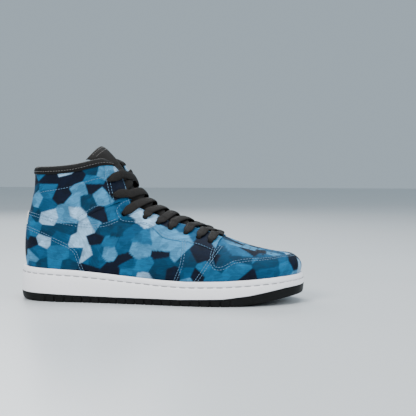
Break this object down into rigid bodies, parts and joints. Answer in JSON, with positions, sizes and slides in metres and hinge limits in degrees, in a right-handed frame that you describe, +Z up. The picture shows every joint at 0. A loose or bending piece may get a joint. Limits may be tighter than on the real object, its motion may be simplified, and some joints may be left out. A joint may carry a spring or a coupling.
{
  "type": "basketball high-top shoe",
  "caption": "Right high-top basketball shoe: cupsole with black outsole, stitched panelled upper in a blue geometric print, padded collar, tongue and flat lace.",
  "frame": {"origin": "on the ground under the middle of the shoe's bounding box", "axes": "+X towards the toe, +Y towards the medial side, +Z up"},
  "size_m": [0.2993, 0.1132, 0.1612],
  "materials": {
    "outsole_rubber": "matt black moulded rubber",
    "cupsole_rubber": "satin white moulded rubber",
    "sole_thread": "grey waxed thread",
    "midsole_foam": "closed-cell foam",
    "insole_board": "fibre board",
    "sockliner": "brushed textile over foam",
    "collar_foam": "open-cell foam",
    "stiffener": "thermoplastic sheet",
    "lining": "black mesh textile",
    "binding": "black padded textile",
    "tongue": "black padded textile",
    "lace": "flat woven black",
    "aglet": "black plastic",
    "heel_tab": "white leather",
    "printed_leather": "fine-grained leather with a blue all-over print"
  },
  "bodies": {
    "shoe": {"aglet_a": "aglet", "aglet_b": "aglet", "ankle_panel_lateral": "printed_leather", "ankle_panel_medial": "printed_leather", "collar_binding": "binding", "collar_foam": "collar_foam", "collar_panel": "printed_leather", "cupsole": "cupsole_rubber", "eyestay_lateral": "printed_leather", "eyestay_medial": "printed_leather", "facing_lateral": "printed_leather", "facing_medial": "printed_leather", "foam_wedge": "midsole_foam", "gusset_lateral": "printed_leather", "gusset_medial": "printed_leather", "heel_counter": "stiffener", "heel_overlay": "printed_leather", "heel_tab": "heel_tab", "insole_board": "insole_board", "lace": "lace", "outsole": "outsole_rubber", "quarter_lateral": "printed_leather", "quarter_lining": "lining", "quarter_medial": "printed_leather", "sole_stitch": "sole_thread", "toe_box": "printed_leather", "toe_cap": "printed_leather", "toe_puff": "stiffener", "tongue": "tongue", "vamp_lining": "lining", "vamp_wing_lateral": "printed_leather", "vamp_wing_medial": "printed_leather"},
    "tongue_top": {"tongue_flap": "tongue"},
    "insole": {"sockliner": "sockliner"}
  },
  "joints": [
    {"name": "tongue_flex", "type": "hinge", "parent": "shoe", "child": "tongue_top", "pos_m": [-0.041, 0, 0.13735], "axis": [0, 1, 0], "range_deg": [-10, 35]},
    {"name": "insole_lift", "type": "hinge", "parent": "shoe", "child": "insole", "pos_m": [0.1325, 0.007, 0.0235], "axis": [0, 1, 0], "range_deg": [0, 8]}
  ]
}
